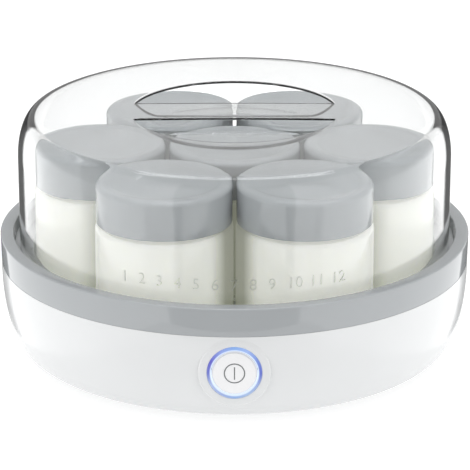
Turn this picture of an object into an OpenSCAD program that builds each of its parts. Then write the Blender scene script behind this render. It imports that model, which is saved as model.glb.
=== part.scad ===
// Electric yogurt maker: a round heated base, seven lidded glass jars and a clear domed lid.
// Millimetres. +Z is up, the button faces -Y, and the origin is the centre of the surface
// that the feet stand on.

/* [Base] */
// Outside diameter over the collar ring
collar_d = 245; // [244:0.5:246]
// Height of the collar ring's outer face
collar_h = 14.7; // [14.5:0.1:15]
// Height of the bowl, from its flat bottom to the collar ring
bowl_h = 47.2; // [47:0.1:47.5]
// Diameter of the bowl's flat bottom
bowl_flat_d = 203.8; // [203:0.1:205]
// Wall thickness of the bowl
shell_wall = 2.5; // [2.4:0.1:2.6]
// How far the rubber feet stand out below
foot_h = 3.1; // [2.9:0.1:3.3]
// Inside diameter of the basin
basin_d = 210.8; // [210.6:0.1:211]
// Height of the spots that the jars stand on
seat_z = 34; // [33.9:0.1:34.2]

/* [Lid] */
// Outside diameter of the lid's upright wall
lid_d = 225; // [224.5:0.5:225.5]
// Total height of the object, to the middle of the lid
total_h = 128.1; // [128:0.1:130]
// Wall thickness of the lid
lid_wall = 2.3; // [2:0.1:2.4]
// Diameter of the round sunk handle
handle_d = 107; // [104:1:110]
// Width of the bar across the handle
handle_bar_w = 28; // [24:1:30]
// Depth of the two finger wells
well_depth = 8.2; // [7.5:0.1:8.3]

/* [Jars] */
// Outside diameter of a glass jar
jar_d = 69.2; // [68.8:0.1:69.3]
// Glass thickness
glass_wall = 2.8; // [2.5:0.1:3]
// Distance from the middle of the base to each outer jar
jar_ring_r = 70; // [69.9:0.1:70.1]
// Outside diameter of a cap
cap_d = 68.4; // [68.2:0.1:68.6]
// Height of a cap
cap_h = 20; // [19.5:0.1:20.2]
// Height of a cap's lower edge above the jar's seat
cap_lift = 55.9; // [55.5:0.1:56]

/* [Button] */
// Diameter of the flat round boss
boss_d = 36; // [35:0.5:37]
// Height of the button's middle above the table
button_z = 31.3; // [31:0.1:31.5]
// Outside diameter of the lit ring
ring_d = 26.9; // [26.5:0.1:27.2]
// Diameter of the button
button_d = 22.6; // [22:0.1:22.8]

/* [Inlet] */
// Bore of the cord inlet
inlet_bore_d = 7.2; // [6:0.1:8]
// Height of the inlet's middle above the table
inlet_z = 22; // [21:0.5:23]

/* [Hidden] */
$fn = 96;
dial_angles = [0, 90, 180, 270];
diagonal_angles = [45, 135, 225, 315];

// Bowl and bottom cover
bowl_bottom = foot_h;
rim_z = bowl_bottom + bowl_h;
collar_top = rim_z + collar_h;
collar_r = collar_d / 2;
bowl_r = collar_r - 0.2;
bowl_flat_r = bowl_flat_d / 2;
bowl_side_power = 2 / 3.13;
bowl_base_power = 2 / 2.04;
cover_r = 91.7;
cover_gap = 0.2;
cover_t = 2.5;
cover_top = bowl_bottom + cover_t;
ledge_r = 80;
ledge_top = cover_top + shell_wall;
cover_screw_r = 86;
cover_post_h = 12;
foot_ring_r = 76;
foot_r = 8;
foot_peg_r = 3;
peg_slack = 0.05;

// Collar ring and basin
lid_seat_z = collar_top - 6;
ledge_under = lid_seat_z - 3.5;
seat_edge_r = lid_d / 2 + 3.15;
collar_lip_r = basin_d / 2 - 0.2;
collar_wall = 2.4;
tongue_r = bowl_r - shell_wall - 0.4;
tongue_t = 1.8;
lug_ring_r = 112.5;
lug_r = 4.5;
lug_top = 46.2;
lug_t = 3.2;
collar_boss_r = 3.5;
pan_t = 1.5;
pan_r = basin_d / 2;
pan_floor = seat_z + 2;
pan_under = seat_z - pan_t;
pan_flange_r = 111.2;
pan_screw_r = 109.5;
seat_r = jar_d / 2 - 0.2;

// Lid
lid_r = lid_d / 2;
shoulder_w = 8.4;
shoulder_h = 21.5;
crown = 1.3;
shoulder_z = total_h - crown - shoulder_h;
flat_r = lid_r - shoulder_w;
handle_r = handle_d / 2;
well_floor_r = 38;

// Jars
jar_r = jar_d / 2;
jar_corner = 5;
jar_base_t = 4;
neck_r = 31;
neck_in_r = neck_r - 2.6;
cap_r = cap_d / 2;
cap_in_r = cap_r - 1.6;
cap_roof = 1.8;
cap_round = 3;
cap_dish = 0.4;
liner_t = 1.5;
cap_z = seat_z + cap_lift;
cap_top = cap_z + cap_h;
neck_top = cap_top - cap_roof - liner_t;
jar_shoulder_z = cap_z - 0.5 - (jar_r - neck_r);
bead_r = neck_r + 0.8;
ring_names = ["right", "back_right", "back_left", "left", "front_left", "front_right"];
places = concat(
    [["centre", [0, 0]]],
    [for (i = [0:5]) [ring_names[i], jar_ring_r * [cos(60 * i), sin(60 * i)]]]
);

// Button, light ring and control board: the front face of each lies at a negative Y
boss_r = boss_d / 2;
boss_wall = 2.4;
boss_y = -(collar_r - 1);
boss_back = -112;
ring_r = ring_d / 2;
ring_in_r = button_d / 2 + 0.3;
button_r = button_d / 2;
button_front = boss_y - 0.6;
button_skin = 2;
button_skirt_y = -114.5;
stem_r = 2.4;
board_front = -109.5;
board_t = 1.5;
board_back = board_front + board_t;
board_w = 56;
board_low = 17;
board_high = 46;
board_screw_x = 24;
board_screw_z = [21, 41];
board_post_r = 3;
switch_w = 8;
switch_front = board_front - 4;
plunger_r = 1.8;
plunger_front = switch_front - 1.8;
plunger_l = 3.8;
led_ring_r = 12.5;
led_w = 3;
led_h = 2.4;
relay = [15, 10, 10];
capacitor_r = 4;

// Inlet, heater and its controls
inlet_boss_r = 10.5;
inlet_front = collar_r - 2.3;
inlet_back = inlet_front - 6.7;
bush_r = 6;
bush_flange_t = 1.5;
heater_t = 1.2;
heater_in_r = 24;
heater_out_r = 90;
heater_under = pan_under - heater_t;
thermostat_r = 7.5;
bracket_t = 1.2;
bracket_top = 26;
bracket_screw_x = 19;
fuse_r = 2.6;
fuse_l = 14;
fuse_y = 15;
fuse_z = pan_under - fuse_r;
thermostat_tab_z = 29;
thermostat_tab_y = -10;
block = [24, 16, 11];
block_y = 62;
block_front = block_y - block[1] / 2;
lead_r = 1.1;
lead_sides = 8;
lead_reference = [0.8, 0.4, 0.3];
mains_routes = [
    [[-5, block_front, 13], [-5, 40, 13], [-2, -60, 20], [-2, -90, 24], [-2, board_back, 24]],
    [[5, block_front, 13], [5, 40, 13], [3.5, -60, 20], [3.5, -90, 24], [3.5, board_back, 24]]
];
heater_routes = [
    [[-40, 0, heater_under], [-40, 0, 24], [-24, -70, 24], [-24, -96, 29.5], [-24, board_back, 29.5]],
    [[0, thermostat_tab_y, thermostat_tab_z], [0, -20, thermostat_tab_z], [24, -70, 24],
     [24, -96, 29.5], [24, board_back, 29.5]],
    [[fuse_l / 2, fuse_y, fuse_z], [12, fuse_y, fuse_z], [28, fuse_y, 27], [40, fuse_y, 27],
     [40, fuse_y, heater_under]],
    [[-fuse_l / 2, fuse_y, fuse_z], [-12.5, fuse_y, fuse_z], [-12.5, 0, thermostat_tab_z],
     [thermostat_tab_y, 0, thermostat_tab_z]]
];

function reversed(list) = [for (i = [len(list) - 1:-1:0]) list[i]];

// Points of an arc in a profile, about [r, z].
function arc(centre, radius, from, to, steps = 6) = [
    for (i = [0:steps])
        let (a = from + (to - from) * i / steps)
        centre + radius * [cos(a), sin(a)]
];

// The bowl's side, moved inwards by inset: a superellipse from the rim down to the height low.
function bowl_side(inset, low, steps = 22) =
    let (last = asin(min(1, pow((rim_z - low) / (bowl_h - inset), 1 / bowl_base_power))))
    [for (i = [0:steps])
        let (a = last * i / steps)
        [bowl_flat_r + (bowl_r - bowl_flat_r - inset) * pow(cos(a), bowl_side_power),
         rim_z - (bowl_h - inset) * pow(sin(a), bowl_base_power)]];

// The lid's side, moved inwards by inset: upright wall, elliptical shoulder, faintly crowned top.
function lid_side(inset) = concat(
    [[lid_r - inset, lid_seat_z]],
    [for (a = [0:6:90])
        [flat_r + (shoulder_w - inset) * cos(a), shoulder_z + (shoulder_h - inset) * sin(a)]],
    [for (i = [7:-1:0])
        [flat_r * i / 8, total_h - inset - crown * pow(i / 8, 2)]]
);

// A finger well's side, moved outwards by grow: a quarter of an ellipse, from the floor to the top.
function well_side(grow) = [
    for (a = [0:9:90])
        [well_floor_r + (handle_r - well_floor_r + grow) * sin(a),
         total_h - (well_depth + grow) * cos(a)]
];

function unit(v) = v / norm(v);

// A lead's direction at one point of its route: halfway between its two stretches.
function heading(route, i) =
    i == 0 ? unit(route[1] - route[0]) :
    i == len(route) - 1 ? unit(route[i] - route[i - 1]) :
    unit(unit(route[i] - route[i - 1]) + unit(route[i + 1] - route[i]));

// The points round a lead at one point of its route.
function lead_ring(route, i) =
    let (ahead = heading(route, i), across = unit(cross(ahead, lead_reference)), up = cross(across, ahead))
    [for (k = [0:lead_sides - 1])
        let (a = 360 * k / lead_sides)
        route[i] + lead_r * (cos(a) * across + sin(a) * up)];

// Copies at a radius from the Z axis, one at each angle.
module spread(angles, r) {
    for (a = angles) rotate([0, 0, a]) translate([r, 0, 0]) children();
}

// A cylinder along Y at a height z.
module rod_y(z, r, from, to) {
    translate([0, from, z]) rotate([-90, 0, 0]) cylinder(r = r, h = to - from);
}

// A profile turned about the button's axis. Its second coordinate is the distance to the front.
module turned_button() {
    translate([0, 0, button_z]) rotate([90, 0, 0]) rotate_extrude() children();
}

// A screw that points up. Its head hangs below z = 0, the face that it presses on.
module screw(head_r, head_h, shank_r, shank_l) {
    translate([0, 0, -head_h]) cylinder(r1 = head_r * 0.8, r2 = head_r, h = head_h);
    cylinder(r = shank_r, h = shank_l);
}

// The places of the control board's four screws.
module board_corners() {
    for (x = [-board_screw_x, board_screw_x])
        for (z = board_screw_z)
            translate([x, 0, z]) children();
}

// An insulated lead: one tube swept through the points of its route.
module lead(route) {
    last = len(route) - 1;
    polyhedron(
        points = [for (i = [0:last]) each lead_ring(route, i)],
        faces = concat(
            [[for (k = [lead_sides - 1:-1:0]) k]],
            [for (i = [0:last - 1]) for (k = [0:lead_sides - 1])
                let (next = (k + 1) % lead_sides)
                [i * lead_sides + k, i * lead_sides + next,
                 (i + 1) * lead_sides + next, (i + 1) * lead_sides + k]],
            [[for (k = [0:lead_sides - 1]) last * lead_sides + k]]
        )
    );
}

module bowl_skin() {
    rotate_extrude() polygon(concat(
        bowl_side(0, bowl_bottom),
        [[ledge_r, bowl_bottom], [ledge_r, ledge_top]],
        reversed(bowl_side(shell_wall, ledge_top))
    ));
}

// The posts, lugs and tubes inside the bowl, before they are trimmed to its outside.
module bowl_inner_features() {
    rod_y(button_z, boss_r, boss_y - 5, boss_back);
    rod_y(inlet_z, inlet_boss_r, inlet_back, inlet_front + 5);
    board_corners() rod_y(0, board_post_r, -collar_r, board_front);
    spread(diagonal_angles, lug_ring_r) translate([0, 0, lug_top - lug_t]) {
        cylinder(r = lug_r, h = lug_t);
        translate([0, -lug_r, 0]) cube([10, 2 * lug_r, lug_t]);
    }
    spread(dial_angles, cover_screw_r) translate([0, 0, cover_top])
        cylinder(r = 4, h = cover_post_h);
}

module housing_bowl() color("white") difference() {
    union() {
        bowl_skin();
        intersection() {
            bowl_inner_features();
            rotate_extrude() polygon(concat([[0, rim_z]], bowl_side(0, bowl_bottom), [[0, bowl_bottom]]));
        }
        // The parts of the two round bosses that stand out of the bowl's side
        rod_y(button_z, boss_r, boss_y, boss_back);
        rod_y(inlet_z, inlet_boss_r, inlet_back, inlet_front);
    }
    // Flat faces on the bosses
    rod_y(button_z, boss_r, boss_y - 5, boss_y);
    rod_y(inlet_z, inlet_boss_r, inlet_front, inlet_front + 5);
    // Hollow and hole for the light ring, and hole for the inlet bush
    rod_y(button_z, boss_r - boss_wall, boss_y + shell_wall, boss_back + 1);
    rod_y(button_z, ring_r + 0.05, boss_y - 1, boss_back);
    rod_y(inlet_z, bush_r + 0.05, inlet_back - 1, inlet_front + 1);
    // Screw holes
    board_corners() rod_y(0, 1.1, board_front - 5, board_front + 1);
    spread(diagonal_angles, lug_ring_r) translate([0, 0, lug_top - lug_t - 1])
        cylinder(r = 1.7, h = lug_t + 2);
    spread(dial_angles, cover_screw_r) translate([0, 0, cover_top - 1])
        cylinder(r = 1.5, h = cover_post_h - 1);
    // Recess for the bottom cover
    translate([0, 0, bowl_bottom - 1]) cylinder(r = cover_r + cover_gap, h = cover_t + 1);
}

module collar_ring() color("darkgray") difference() {
    union() {
        rotate_extrude() polygon([
            [collar_r - 0.2, rim_z],
            [collar_r, collar_top - 0.8],
            [collar_r - 0.8, collar_top],
            [seat_edge_r + 0.6, collar_top],
            [seat_edge_r, collar_top - 0.6],
            [seat_edge_r - 0.6, lid_seat_z],
            [collar_lip_r + 1, lid_seat_z],
            [collar_lip_r, lid_seat_z - 1],
            [collar_lip_r, ledge_under],
            [seat_edge_r + 1.8, ledge_under],
            [seat_edge_r + 1.8, collar_top - collar_wall],
            [collar_r - collar_wall, collar_top - collar_wall],
            [collar_r - collar_wall, rim_z + collar_wall],
            [tongue_r - tongue_t, rim_z + collar_wall],
            [tongue_r - tongue_t, lug_top + 0.3],
            [tongue_r, lug_top + 0.3],
            [tongue_r, rim_z]
        ]);
        spread(diagonal_angles, lug_ring_r) translate([0, 0, lug_top])
            cylinder(r = collar_boss_r, h = ledge_under - lug_top + 0.5);
    }
    // The tongue leaves room for the tube behind the button
    translate([-boss_r - 1.5, -collar_r - 1, lug_top - 1])
        cube([2 * boss_r + 3, 15, rim_z - lug_top + 0.99]);
    spread(diagonal_angles, lug_ring_r) translate([0, 0, lug_top - 1]) cylinder(r = 1.45, h = 10);
    spread(dial_angles, pan_screw_r) translate([0, 0, ledge_under - 1]) cylinder(r = 1.05, h = 3.7);
}

module heating_pan() color("gray") difference() {
    union() {
        rotate_extrude() polygon(concat(
            [[0, pan_under]],
            arc([pan_r - 3, pan_under + 3 + pan_t], 3 + pan_t, -90, 0),
            [[pan_r + pan_t, ledge_under - pan_t],
             [pan_flange_r, ledge_under - pan_t],
             [pan_flange_r, ledge_under],
             [pan_r, ledge_under]],
            arc([pan_r - 3, pan_floor + 3], 3, 0, -90),
            [[0, pan_floor]]
        ));
        // Bosses that the sensor bracket is screwed to
        for (x = [-bracket_screw_x, bracket_screw_x])
            translate([x, 0, bracket_top]) cylinder(r = 3, h = pan_under - bracket_top + 0.5);
    }
    // Round seats for the jars
    for (place = places)
        translate([place[1][0], place[1][1], seat_z]) cylinder(r = seat_r, h = 8);
    // Room for the collar ring's bosses, and screw holes
    spread(diagonal_angles, lug_ring_r) translate([0, 0, ledge_under - 3])
        cylinder(r = collar_boss_r + 0.4, h = 4);
    spread(dial_angles, pan_screw_r) translate([0, 0, ledge_under - 3]) cylinder(r = 1.3, h = 4);
    for (x = [-bracket_screw_x, bracket_screw_x])
        translate([x, 0, bracket_top - 1]) cylinder(r = 1.05, h = 6);
}

module bottom_cover() color("white") difference() {
    translate([0, 0, bowl_bottom]) cylinder(r = cover_r, h = cover_t);
    spread(diagonal_angles, foot_ring_r) cylinder(r = foot_peg_r + peg_slack, h = cover_top + 1);
    spread(dial_angles, cover_screw_r) cylinder(r = 1.7, h = cover_top + 1);
    translate([0, block_y, cover_top - 1.8]) cylinder(r = 1.5, h = 2);
    // Vent slots
    for (x = [-30:10:30]) translate([x - 1.5, -18, 0]) cube([3, 36, cover_top + 1]);
}

module rubber_feet() color("dimgray") spread(diagonal_angles, foot_ring_r) rotate_extrude() polygon([
    [0, 0],
    [foot_r - 0.8, 0],
    [foot_r, 0.8],
    [foot_r, bowl_bottom],
    [foot_peg_r, bowl_bottom],
    [foot_peg_r, cover_top],
    [foot_peg_r + 0.4, cover_top],
    [foot_peg_r + 0.4, cover_top + 0.6],
    [foot_peg_r - 0.6, cover_top + 1.8],
    [0, cover_top + 1.8]
]);

module cover_screws() color("silver")
    spread(dial_angles, cover_screw_r) translate([0, 0, bowl_bottom]) screw(3.2, 1.8, 1.45, 11);

module collar_screws() color("silver")
    spread(diagonal_angles, lug_ring_r) translate([0, 0, lug_top - lug_t]) screw(2.8, 1.8, 1.4, 10);

module pan_screws() color("silver")
    spread(dial_angles, pan_screw_r) translate([0, 0, ledge_under - pan_t]) screw(2.3, 1.4, 1, 3.5);

module light_ring() color("royalblue") turned_button() polygon([
    [ring_in_r, -boss_back + 0.4],
    [ring_r, -boss_back + 0.4],
    [ring_r, -boss_y - shell_wall - 1.2],
    [ring_r + 1.6, -boss_y - shell_wall - 1.2],
    [ring_r + 1.6, -boss_y - shell_wall],
    [ring_r, -boss_y - shell_wall],
    [ring_r, -boss_y + 0.1],
    [ring_r - 0.3, -boss_y + 0.4],
    [ring_in_r + 0.3, -boss_y + 0.4],
    [ring_in_r, -boss_y + 0.1]
]);

module power_button() color("whitesmoke") turned_button() polygon([
    [0, -plunger_front],
    [stem_r, -plunger_front],
    [stem_r, -button_front - button_skin],
    [button_r - 1.4, -button_front - button_skin],
    [button_r - 1.4, -button_skirt_y],
    [button_r, -button_skirt_y],
    [button_r, -button_front - 0.5],
    [button_r - 0.5, -button_front],
    [0, -button_front]
]);

module switch_body() color("black") difference() {
    translate([-switch_w / 2, switch_front, button_z - switch_w / 2])
        cube([switch_w, board_front - switch_front, switch_w]);
    rod_y(button_z, plunger_r + 0.05, switch_front - 1, board_front - 0.6);
}

module switch_plunger() color("saddlebrown")
    rod_y(button_z, plunger_r, plunger_front, plunger_front + plunger_l);

module control_board() color("darkgreen") difference() {
    translate([-board_w / 2, board_front, board_low]) cube([board_w, board_t, board_high - board_low]);
    board_corners() rod_y(0, 1.4, board_front - 1, board_back + 1);
}

module board_screws() color("silver") board_corners()
    translate([0, board_back, 0]) rotate([90, 0, 0]) screw(2.2, 1.5, 1, 5);

module ring_leds() color("lightblue") for (a = [90, 210, 330])
    translate([led_ring_r * cos(a) - led_w / 2, board_front - led_h,
               button_z + led_ring_r * sin(a) - led_w / 2])
        cube([led_w, led_h, led_w]);

module board_relay() color("midnightblue") translate([-20, board_back, 18]) cube(relay);

module board_capacitor() color("slategray")
    translate([12, 0, 0]) rod_y(24, capacitor_r, board_back, board_back + 9);

module heater_mat() color("orange") translate([0, 0, heater_under]) difference() {
    cylinder(r = heater_out_r, h = heater_t);
    translate([0, 0, -1]) cylinder(r = heater_in_r, h = heater_t + 2);
}

module thermostat() color("black") {
    translate([0, 0, bracket_top]) cylinder(r = thermostat_r, h = pan_under - bracket_top);
    for (turn = [-90, 180]) rotate([0, 0, turn])
        translate([thermostat_r - 1, -1.5, thermostat_tab_z - 1.5])
            cube([-thermostat_tab_y - thermostat_r + 1, 3, 3]);
}

module thermal_fuse() color("ivory")
    translate([-fuse_l / 2, fuse_y, fuse_z]) rotate([0, 90, 0]) cylinder(r = fuse_r, h = fuse_l);

module sensor_bracket() color("silver") difference() {
    union() {
        translate([-23, -5, bracket_top - bracket_t]) cube([46, 10, bracket_t]);
        translate([-4, 4, bracket_top - bracket_t]) cube([8, 15, bracket_t]);
        // Step that presses the fuse against the basin
        translate([-4, 9, bracket_top - 0.1]) cube([8, 10, fuse_z - fuse_r - bracket_top + 0.1]);
    }
    for (x = [-bracket_screw_x, bracket_screw_x]) translate([x, 0, 20]) cylinder(r = 1.3, h = 10);
}

module bracket_screws() color("silver") for (x = [-bracket_screw_x, bracket_screw_x])
    translate([x, 0, bracket_top - bracket_t]) screw(2.3, 1.4, 1, 5.5);

module terminal_block() color("ivory") difference() {
    translate([-block[0] / 2, block_front, cover_top]) cube(block);
    translate([0, block_y, cover_top - 1]) cylinder(r = 1.7, h = block[2] + 2);
    // Wells over the two clamping screws
    for (x = [-7, 7]) translate([x, block_y, cover_top + block[2] - 4]) cylinder(r = 2.5, h = 5);
}

module terminal_screw() color("silver")
    translate([0, block_y, cover_top + block[2]]) rotate([180, 0, 0]) screw(3, 1.6, 1.45, block[2] + 1.5);

module mains_leads() color("sienna") for (route = mains_routes) lead(route);

module heater_leads() color("firebrick") for (route = heater_routes) lead(route);

module cord_bush() color("dimgray") difference() {
    union() {
        rod_y(inlet_z, bush_r, inlet_back, inlet_front);
        rod_y(inlet_z, bush_r + 2.5, inlet_front, inlet_front + bush_flange_t);
        rod_y(inlet_z, bush_r + 1.2, inlet_back - bush_flange_t, inlet_back);
    }
    rod_y(inlet_z, inlet_bore_d / 2, inlet_back - 5, inlet_front + 5);
}

// One finger well, moved outwards by grow and carried up past the top of the lid.
module finger_well(grow) {
    intersection() {
        rotate_extrude() polygon(concat(
            [[0, total_h - well_depth - grow]],
            well_side(grow),
            [[handle_r + grow, total_h + 10], [0, total_h + 10]]
        ));
        translate([-100, handle_bar_w / 2 - grow, 0]) cube([200, 100, 200]);
    }
}

module lid() color("aliceblue", 0.3) difference() {
    union() {
        rotate_extrude() polygon(concat(lid_side(0), reversed(lid_side(lid_wall))));
        // Skin under the two wells
        intersection() {
            for (turn = [0, 180]) rotate([0, 0, turn]) finger_well(lid_wall);
            rotate_extrude() polygon(concat(lid_side(0), [[0, lid_seat_z]]));
        }
    }
    for (turn = [0, 180]) rotate([0, 0, turn]) finger_well(0);
}

module jar_glass() color("azure", 0.5) rotate_extrude() polygon(concat(
    [[0, seat_z]],
    arc([jar_r - jar_corner, seat_z + jar_corner], jar_corner, -90, 0),
    arc([neck_r, jar_shoulder_z], jar_r - neck_r, 0, 90),
    // Two low thread beads
    [for (z = [cap_z + 5, cap_z + 9.5])
        each [[neck_r, z], [bead_r, z + 0.6], [bead_r, z + 1.2], [neck_r, z + 1.8]]],
    [[neck_r, neck_top - 0.8], [neck_r - 0.8, neck_top]],
    [[neck_in_r + 0.6, neck_top], [neck_in_r, neck_top - 0.6]],
    arc([neck_in_r, jar_shoulder_z - 0.8], jar_r - glass_wall - neck_in_r, 90, 0),
    arc([jar_r - glass_wall - 4, seat_z + jar_base_t + 4], 4, 0, -90),
    [[0, seat_z + jar_base_t]]
));

module cap_liner() color("white")
    translate([0, 0, neck_top]) cylinder(r = cap_in_r - 0.5, h = liner_t);

module jar_cap() color("lightgray") rotate_extrude() polygon(concat(
    [[cap_r, cap_z]],
    arc([cap_r - cap_round, cap_top - cap_round], cap_round, 0, 90),
    [[cap_r - 5.6, cap_top], [cap_r - 6.4, cap_top - cap_dish], [0, cap_top - cap_dish]],
    [[0, cap_top - cap_roof], [cap_in_r, cap_top - cap_roof], [cap_in_r, cap_z]]
));

housing_bowl();
collar_ring();
heating_pan();
bottom_cover();
rubber_feet();
cover_screws();
collar_screws();
pan_screws();
light_ring();
power_button();
switch_body();
switch_plunger();
control_board();
board_screws();
ring_leds();
board_relay();
board_capacitor();
heater_mat();
thermostat();
thermal_fuse();
sensor_bracket();
bracket_screws();
terminal_block();
terminal_screw();
mains_leads();
heater_leads();
cord_bush();
lid();
for (place = places) translate([place[1][0], place[1][1], 0]) {
    jar_glass();
    cap_liner();
    jar_cap();
}
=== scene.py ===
"""A seven-jar yogurt maker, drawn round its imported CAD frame. Lengths are in metres."""

import math

import bpy
import numpy as np
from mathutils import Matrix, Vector


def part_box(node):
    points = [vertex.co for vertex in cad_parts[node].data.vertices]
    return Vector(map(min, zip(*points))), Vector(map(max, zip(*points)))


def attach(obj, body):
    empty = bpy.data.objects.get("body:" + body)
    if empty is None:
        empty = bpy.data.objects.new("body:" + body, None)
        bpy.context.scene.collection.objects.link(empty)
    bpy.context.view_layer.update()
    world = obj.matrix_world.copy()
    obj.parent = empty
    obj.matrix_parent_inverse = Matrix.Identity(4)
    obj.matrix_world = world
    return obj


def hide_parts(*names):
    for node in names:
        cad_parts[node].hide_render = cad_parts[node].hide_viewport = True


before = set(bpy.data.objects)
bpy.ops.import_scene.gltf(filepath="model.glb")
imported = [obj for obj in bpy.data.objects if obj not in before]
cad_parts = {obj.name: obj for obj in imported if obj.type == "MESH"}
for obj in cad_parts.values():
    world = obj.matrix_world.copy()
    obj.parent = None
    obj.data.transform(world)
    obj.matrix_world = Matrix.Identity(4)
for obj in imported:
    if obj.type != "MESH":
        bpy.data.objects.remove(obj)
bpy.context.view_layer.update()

MM = 0.001
JAR_PLACES = [name[len("jar_glass_"):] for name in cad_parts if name.startswith("jar_glass_")]

# ---------------------------------------------------------------- places and sizes, from the frame
bowl_low, bowl_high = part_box("housing_bowl")
_, collar_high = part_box("collar_ring")
_, pan_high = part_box("heating_pan")
cover_low, cover_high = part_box("bottom_cover")
lid_low, lid_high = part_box("lid")
jar_low, jar_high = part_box("jar_glass_centre")
cap_low, cap_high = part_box("jar_cap_centre")
ring_low, ring_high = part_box("light_ring")
button_low, button_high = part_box("power_button")
bush_low, bush_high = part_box("cord_bush")

COLLAR_R = collar_high.x
COLLAR_TOP = collar_high.z
RIM_Z = bowl_high.z
BOWL_R = COLLAR_R - 0.2 * MM
BOWL_BOTTOM = bowl_low.z
BOWL_FLAT_R = 101.9 * MM
BOWL_ROUND_OUT, BOWL_ROUND_DOWN = 3.13, 2.04
BOWL_WALL = 2.5 * MM
LID_R = lid_high.x
LID_SEAT = lid_low.z
LID_TOP = lid_high.z
LID_WALL = 2.3 * MM
LID_PLATE = 1.1 * MM
JAR_R = jar_high.x
SEAT_Z = jar_low.z
CAP_R = cap_high.x
CAP_Z, CAP_TOP = cap_low.z, cap_high.z
BUTTON_Z = (button_low.z + button_high.z) / 2
BOSS_Y = -(COLLAR_R - 1 * MM)
BOSS_R = 18 * MM
BUSH_Z = (bush_low.z + bush_high.z) / 2
BUSH_BORE_R, BUSH_NECK_R, BUSH_BARB_R, BUSH_FLANGE_R = 3.6 * MM, 6 * MM, 7.2 * MM, 8.5 * MM
BUSH_FLANGE = 1.5 * MM
# Beyond every piece: a cut that comes from outside starts here
OUTSIDE = 140 * MM


# ---------------------------------------------------------------- camera
def make_camera():
    """The photograph's view: a long lens in front of the object, 19.6 degrees above the horizon."""
    data = bpy.data.cameras.new("camera")
    data.sensor_width = 36
    data.lens = 215.5
    data.clip_start, data.clip_end = 0.05, 30
    camera = bpy.data.objects.new("camera", data)
    bpy.context.collection.objects.link(camera)
    elevation, distance = math.radians(19.6), 1.479
    back = Vector((0, -math.cos(elevation), math.sin(elevation)))
    aim = Vector((0.25 * MM, 0, COLLAR_TOP - 5.4 * MM))
    camera.location = aim + back * distance
    camera.rotation_euler = (-back).to_track_quat("-Z", "Y").to_euler()
    bpy.context.scene.camera = camera


# ---------------------------------------------------------------- mesh helpers
def add_object(name, verts, faces, sharp_angle=32):
    mesh = bpy.data.meshes.new(name)
    mesh.from_pydata([tuple(v) for v in verts], [], faces)
    mesh.validate()
    obj = bpy.data.objects.new(name, mesh)
    bpy.context.collection.objects.link(obj)
    smooth(obj, sharp_angle)
    return obj


def smooth(obj, sharp_angle=32):
    obj.data.polygons.foreach_set("use_smooth", [True] * len(obj.data.polygons))
    obj.data.set_sharp_from_angle(angle=math.radians(sharp_angle))


def arc(r, z, radius, start, end, steps=8, radius_z=None):
    """Points of an arc or ellipse in a profile, about (r, z). Angles are in degrees."""
    tall = radius if radius_z is None else radius_z
    angles = np.radians(np.linspace(start, end, steps + 1))
    return [(r + radius * math.cos(a), z + tall * math.sin(a)) for a in angles]


def rounded(corners, steps=5):
    """An outline whose corners (r, z, radius) are turned into arcs. Its ends count as neighbours."""
    points = []
    count = len(corners)
    for i, corner in enumerate(corners):
        here = Vector(corner[:2])
        radius = corner[2]
        before = Vector(corners[i - 1][:2]) - here
        after = Vector(corners[(i + 1) % count][:2]) - here
        if radius <= 0 or before.length < 1e-9 or after.length < 1e-9:
            points.append(tuple(here))
            continue
        before_unit, after_unit = before.normalized(), after.normalized()
        half = math.acos(max(-1, min(1, before_unit.dot(after_unit)))) / 2
        if abs(half - math.pi / 2) < 1e-3 or half < 1e-3:
            points.append(tuple(here))
            continue
        reach = min(radius / math.tan(half), 0.49 * before.length, 0.49 * after.length)
        radius = reach * math.tan(half)
        middle = here + (before_unit + after_unit).normalized() * (radius / math.sin(half))
        start = here + before_unit * reach - middle
        end = here + after_unit * reach - middle
        turn = math.atan2(start.x * end.y - start.y * end.x, start.dot(end))
        for k in range(steps + 1):
            a = turn * k / steps
            spoke = Vector((
                start.x * math.cos(a) - start.y * math.sin(a),
                start.x * math.sin(a) + start.y * math.cos(a),
            ))
            points.append(tuple(middle + spoke))
    return points


def lathe(name, outline, segments=192, closed=True, sharp_angle=32):
    """A solid of revolution about Z. Its outline is a loop of (r, z) or a path from axis to axis."""
    verts, rings = [], []
    for r, z in outline:
        if r < 1e-7:
            rings.append([len(verts)])
            verts.append((0, 0, z))
            continue
        rings.append(list(range(len(verts), len(verts) + segments)))
        for k in range(segments):
            a = 2 * math.pi * k / segments
            verts.append((r * math.cos(a), r * math.sin(a), z))
    faces = []
    pairs = list(zip(rings, rings[1:]))
    if closed and not (len(rings[0]) == 1 and len(rings[-1]) == 1):
        pairs.append((rings[-1], rings[0]))
    for low, high in pairs:
        for k in range(segments):
            n = (k + 1) % segments
            if len(low) == 1 and len(high) == 1:
                break
            if len(low) == 1:
                faces.append((low[0], high[n], high[k]))
            elif len(high) == 1:
                faces.append((low[k], low[n], high[0]))
            else:
                faces.append((low[k], low[n], high[n], high[k]))
    obj = add_object(name, verts, faces, sharp_angle)
    face_outwards(obj)
    return obj


def face_outwards(obj):
    """Turns every face of a closed mesh outwards, by the sign of its volume."""
    mesh = obj.data
    mesh.calc_loop_triangles()
    co = np.empty(len(mesh.vertices) * 3)
    mesh.vertices.foreach_get("co", co)
    co = co.reshape(-1, 3)
    tris = np.empty(len(mesh.loop_triangles) * 3, np.int32)
    mesh.loop_triangles.foreach_get("vertices", tris)
    a, b, c = (co[tris.reshape(-1, 3)[:, i]] for i in range(3))
    if np.einsum("ij,ij->i", a, np.cross(b, c)).sum() < 0:
        mesh.flip_normals()


def reshape(obj, rule):
    """Moves each vertex to the place that the rule gives for it."""
    for v in obj.data.vertices:
        v.co = rule(v.co)
    obj.data.update()
    return obj


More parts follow.
